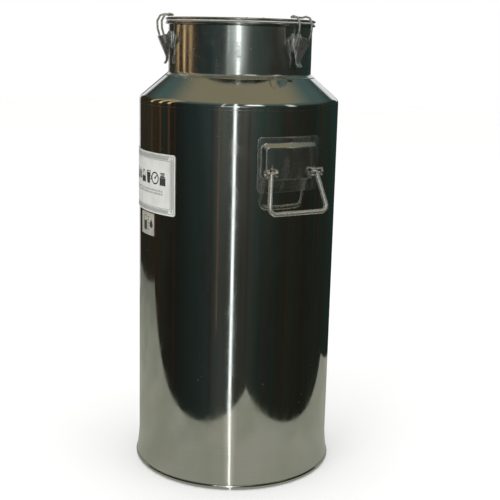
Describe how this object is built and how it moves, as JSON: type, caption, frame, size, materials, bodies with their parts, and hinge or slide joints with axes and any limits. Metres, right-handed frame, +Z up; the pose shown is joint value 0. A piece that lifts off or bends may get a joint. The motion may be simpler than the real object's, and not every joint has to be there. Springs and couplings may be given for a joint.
{
  "type": "milk can",
  "caption": "Tall stainless transport can with a sloped shoulder, straight neck, toggle-latched lid, swinging side handles and a rolled foot ring.",
  "frame": {"origin": "on the can's axis, at the middle of the foot ring's resting plane", "axes": "+Z up along the can's axis, +X and -X towards the two carrying handles, -Y towards the labels"},
  "size_m": [0.3562, 0.31, 0.6903],
  "materials": {
    "polished_steel": "mirror polished stainless sheet with fine lengthwise polishing lines",
    "pressed_steel": "pressed stainless sheet, tumbled bright",
    "steel_wire": "polished stainless wire and rod",
    "silicone": "off-white food silicone",
    "label_paper": "pale grey satin sticker with dark print"
  },
  "bodies": {
    "root": {"body_shell": "polished_steel", "shoulder_cone": "polished_steel", "neck_collar": "polished_steel", "base_ring": "polished_steel", "bottom_pan": "pressed_steel", "handle_plate_right": "pressed_steel", "handle_plate_left": "pressed_steel", "label_large": "label_paper", "label_small": "label_paper", "latch_bracket_a": "pressed_steel", "latch_bracket_b": "pressed_steel", "latch_bracket_c": "pressed_steel"},
    "lid": {"lid": "polished_steel", "lid_gasket": "silicone", "lid_lug_left": "pressed_steel", "lid_lug_right": "pressed_steel"},
    "lid_handle": {"lid_handle": "steel_wire"},
    "latch_a_lever": {"latch_lever_a": "pressed_steel", "latch_pin_a": "steel_wire"},
    "latch_a_bail": {"latch_bail_a": "steel_wire"},
    "latch_b_lever": {"latch_lever_b": "pressed_steel", "latch_pin_b": "steel_wire"},
    "latch_b_bail": {"latch_bail_b": "steel_wire"},
    "latch_c_lever": {"latch_lever_c": "pressed_steel", "latch_pin_c": "steel_wire"},
    "latch_c_bail": {"latch_bail_c": "steel_wire"},
    "handle_right": {"handle_bail_right": "steel_wire"},
    "handle_left": {"handle_bail_left": "steel_wire"}
  },
  "joints": [
    {"name": "lid_lift", "type": "slide", "parent": "root", "child": "lid", "axis": [0, 0, 1], "range_m": [0, 0.028]},
    {"name": "lid_handle_fold", "type": "hinge", "parent": "lid", "child": "lid_handle", "pos_m": [0, 0, 0.6766], "axis": [1, 0, 0], "range_deg": [0, 90]},
    {"name": "latch_a_open", "type": "hinge", "parent": "root", "child": "latch_a_lever", "pos_m": [0.11127, 0.03615, 0.655], "axis": [0.309, -0.9511, 0], "range_deg": [0, 95]},
    {"name": "latch_a_unhook", "type": "hinge", "parent": "latch_a_lever", "child": "latch_a_bail", "pos_m": [0.11156, 0.03625, 0.6483], "axis": [-0.309, 0.9511, 0], "range_deg": [0, 215]},
    {"name": "latch_b_open", "type": "hinge", "parent": "root", "child": "latch_b_lever", "pos_m": [-0.08695, 0.07829, 0.655], "axis": [0.6691, 0.7431, 0], "range_deg": [0, 95]},
    {"name": "latch_b_unhook", "type": "hinge", "parent": "latch_b_lever", "child": "latch_b_bail", "pos_m": [-0.08717, 0.07849, 0.6483], "axis": [-0.6691, -0.7431, 0], "range_deg": [0, 215]},
    {"name": "latch_c_open", "type": "hinge", "parent": "root", "child": "latch_c_lever", "pos_m": [-0.02433, -0.11444, 0.655], "axis": [-0.9781, 0.2079, 0], "range_deg": [0, 95]},
    {"name": "latch_c_unhook", "type": "hinge", "parent": "latch_c_lever", "child": "latch_c_bail", "pos_m": [-0.02439, -0.11474, 0.6483], "axis": [0.9781, -0.2079, 0], "range_deg": [0, 215]},
    {"name": "handle_right_swing", "type": "hinge", "parent": "root", "child": "handle_right", "pos_m": [0.158, 0, 0.475], "axis": [0, -1, 0], "range_deg": [0, 130]},
    {"name": "handle_left_swing", "type": "hinge", "parent": "root", "child": "handle_left", "pos_m": [-0.158, 0, 0.475], "axis": [0, 1, 0], "range_deg": [0, 130]}
  ],
  "couplings": [
    {"joint": "latch_a_open", "follows": "lid_lift", "rad_per_m": 59.216},
    {"joint": "latch_a_unhook", "follows": "lid_lift", "rad_per_m": 134.02},
    {"joint": "latch_b_open", "follows": "lid_lift", "rad_per_m": 59.216},
    {"joint": "latch_b_unhook", "follows": "lid_lift", "rad_per_m": 134.02},
    {"joint": "latch_c_open", "follows": "lid_lift", "rad_per_m": 59.216},
    {"joint": "latch_c_unhook", "follows": "lid_lift", "rad_per_m": 134.02}
  ]
}
